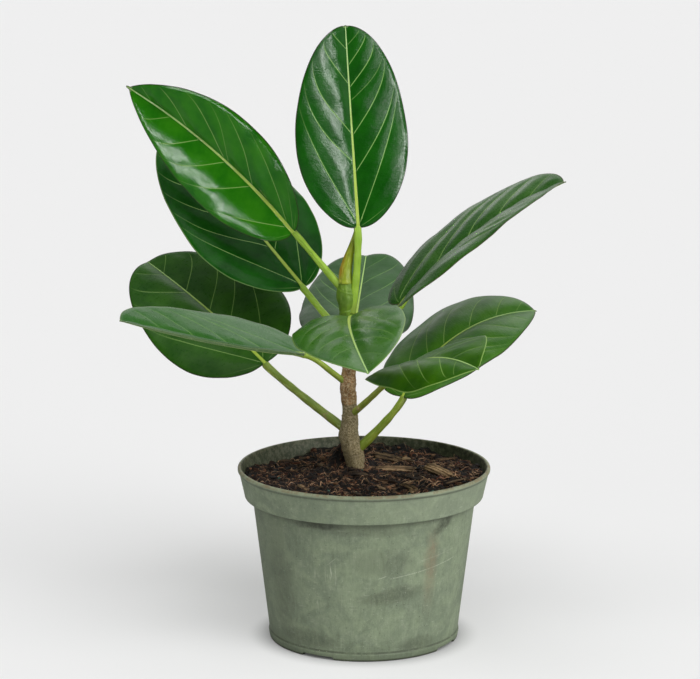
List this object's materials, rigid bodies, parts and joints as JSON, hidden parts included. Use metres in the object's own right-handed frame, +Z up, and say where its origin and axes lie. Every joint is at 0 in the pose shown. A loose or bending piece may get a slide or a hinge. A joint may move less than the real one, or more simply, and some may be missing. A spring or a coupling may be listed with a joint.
{
  "type": "potted ficus",
  "caption": "Young upright ficus with broad glossy oval leaves on a woody stem, standing in a round tapered nursery pot filled with dark bark soil.",
  "frame": {"origin": "centre of the pot's underside, where the pot stands", "axes": "+Z up along the pot's axis, -Y towards the plant's front, +X to the right seen from the front"},
  "size_m": [0.2701, 0.3361, 0.3685],
  "materials": {
    "pot_plastic": "matte",
    "soil": "matte",
    "bark": "matte",
    "shoot_skin": "satin",
    "bud_skin": "satin",
    "leaf_blade": "gloss",
    "leaf_stalk": "satin"
  },
  "bodies": {
    "root": {"pot": "pot_plastic", "soil": "soil", "trunk": "bark", "shoot": "shoot_skin", "bud_sheath": "bud_skin", "leaf_top_blade": "leaf_blade", "leaf_top_petiole": "leaf_stalk", "leaf_upper_left_blade": "leaf_blade", "leaf_upper_left_petiole": "leaf_stalk", "leaf_back_left_blade": "leaf_blade", "leaf_back_left_petiole": "leaf_stalk", "leaf_left_blade": "leaf_blade", "leaf_left_petiole": "leaf_stalk", "leaf_front_left_blade": "leaf_blade", "leaf_front_left_petiole": "leaf_stalk", "leaf_front_blade": "leaf_blade", "leaf_front_petiole": "leaf_stalk", "leaf_back_blade": "leaf_blade", "leaf_back_petiole": "leaf_stalk", "leaf_upper_right_blade": "leaf_blade", "leaf_upper_right_petiole": "leaf_stalk", "leaf_right_blade": "leaf_blade", "leaf_right_petiole": "leaf_stalk", "leaf_front_right_blade": "leaf_blade", "leaf_front_right_petiole": "leaf_stalk"}
  },
  "joints": []
}
